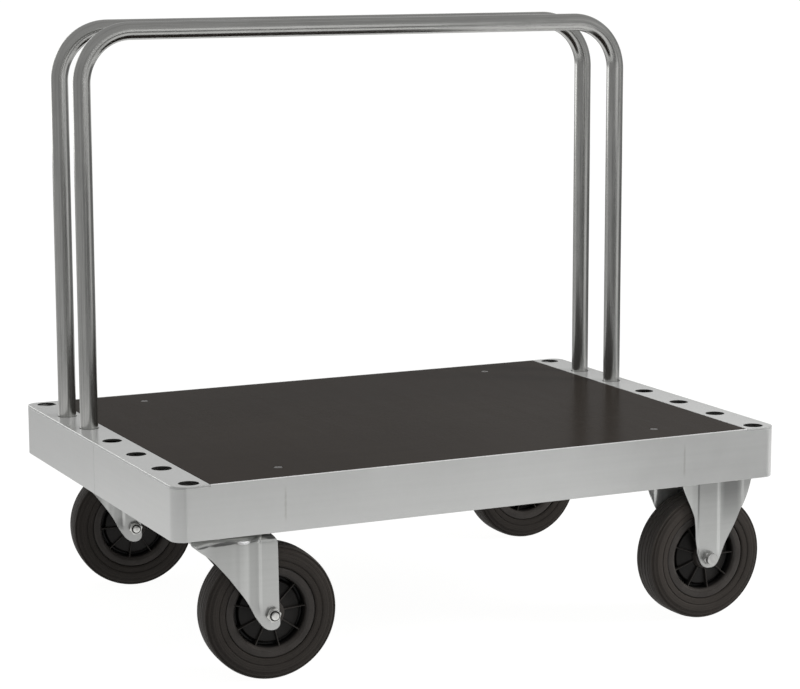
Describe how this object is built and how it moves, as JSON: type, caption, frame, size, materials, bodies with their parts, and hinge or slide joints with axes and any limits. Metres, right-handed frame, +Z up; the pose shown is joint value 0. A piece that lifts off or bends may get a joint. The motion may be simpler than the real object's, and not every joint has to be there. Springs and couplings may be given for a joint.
{
  "type": "sheet goods cart",
  "caption": "Flat platform cart with a flush dark deck, socket holes along both ends, plug-in tube hoops that hold sheets on edge, and swivel and fixed castors.",
  "frame": {"origin": "on the floor under the middle of the platform", "axes": "+X along the length towards the fixed castors, +Y across the depth from the open loading side towards the hoops, +Z up"},
  "size_m": [1, 0.7, 0.9326],
  "materials": {
    "zinc_sheet": "satin zinc-plated sheet steel",
    "zinc_tube": "bright zinc-plated drawn tube with lengthwise streaks",
    "zinc_pressing": "bright zinc-plated pressing",
    "fastener": "zinc-plated fastener",
    "deck_film": "dark brown film-faced plywood, smooth, satin",
    "tyre_rubber": "matte black solid rubber",
    "rim_plastic": "black moulded plastic, satin"
  },
  "bodies": {
    "platform": {"frame_half_front": "zinc_sheet", "frame_half_back": "zinc_sheet", "end_strip_left": "zinc_sheet", "end_strip_right": "zinc_sheet", "socket_channel_left": "zinc_sheet", "socket_channel_right": "zinc_sheet", "crossmember_left": "zinc_sheet", "crossmember_right": "zinc_sheet", "deck_board": "deck_film", "deck_screw_fl": "fastener", "deck_screw_fr": "fastener", "deck_screw_bl": "fastener", "deck_screw_br": "fastener", "swivel_plate_front": "zinc_pressing", "swivel_plate_back": "zinc_pressing", "fixed_fork_front": "zinc_pressing", "fixed_fork_back": "zinc_pressing", "castor_bolt_fl_1": "fastener", "castor_bolt_fl_2": "fastener", "castor_bolt_fl_3": "fastener", "castor_bolt_fl_4": "fastener", "castor_bolt_fr_1": "fastener", "castor_bolt_fr_2": "fastener", "castor_bolt_fr_3": "fastener", "castor_bolt_fr_4": "fastener", "castor_bolt_bl_1": "fastener", "castor_bolt_bl_2": "fastener", "castor_bolt_bl_3": "fastener", "castor_bolt_bl_4": "fastener", "castor_bolt_br_1": "fastener", "castor_bolt_br_2": "fastener", "castor_bolt_br_3": "fastener", "castor_bolt_br_4": "fastener", "axle_bolt_fr": "fastener", "axle_nut_fr": "fastener", "axle_sleeve_fr": "fastener", "axle_bolt_br": "fastener", "axle_nut_br": "fastener", "axle_sleeve_br": "fastener"},
    "hoop_front": {"hoop_front": "zinc_tube"},
    "hoop_back": {"hoop_back": "zinc_tube"},
    "swivel_front": {"ball_race_front": "fastener", "swivel_fork_front": "zinc_pressing", "axle_bolt_fl": "fastener", "axle_nut_fl": "fastener", "axle_sleeve_fl": "fastener"},
    "swivel_back": {"ball_race_back": "fastener", "swivel_fork_back": "zinc_pressing", "axle_bolt_bl": "fastener", "axle_nut_bl": "fastener", "axle_sleeve_bl": "fastener"},
    "wheel_front_left": {"rim_fl": "rim_plastic", "tyre_fl": "tyre_rubber"},
    "wheel_back_left": {"rim_bl": "rim_plastic", "tyre_bl": "tyre_rubber"},
    "wheel_front_right": {"rim_fr": "rim_plastic", "tyre_fr": "tyre_rubber"},
    "wheel_back_right": {"rim_br": "rim_plastic", "tyre_br": "tyre_rubber"}
  },
  "joints": [
    {"name": "hoop_front_lift", "type": "slide", "parent": "platform", "child": "hoop_front", "axis": [0, 0, 1], "range_m": [0, 0.09]},
    {"name": "hoop_back_lift", "type": "slide", "parent": "platform", "child": "hoop_back", "axis": [0, 0, 1], "range_m": [0, 0.09]},
    {"name": "swivel_front_turn", "type": "hinge", "parent": "platform", "child": "swivel_front", "pos_m": [-0.394, -0.294, 0.22], "axis": [0, 0, 1], "continuous": true},
    {"name": "swivel_back_turn", "type": "hinge", "parent": "platform", "child": "swivel_back", "pos_m": [-0.394, 0.294, 0.22], "axis": [0, 0, 1], "continuous": true},
    {"name": "wheel_front_left_spin", "type": "hinge", "parent": "swivel_front", "child": "wheel_front_left", "pos_m": [-0.3422, -0.29853, 0.1], "axis": [0.0872, 0.9962, 0], "continuous": true},
    {"name": "wheel_back_left_spin", "type": "hinge", "parent": "swivel_back", "child": "wheel_back_left", "pos_m": [-0.34251, 0.28676, 0.1], "axis": [0.1392, 0.9903, 0], "continuous": true},
    {"name": "wheel_front_right_spin", "type": "hinge", "parent": "platform", "child": "wheel_front_right", "pos_m": [0.394, -0.294, 0.1], "axis": [0, 1, 0], "continuous": true},
    {"name": "wheel_back_right_spin", "type": "hinge", "parent": "platform", "child": "wheel_back_right", "pos_m": [0.394, 0.294, 0.1], "axis": [0, 1, 0], "continuous": true}
  ]
}
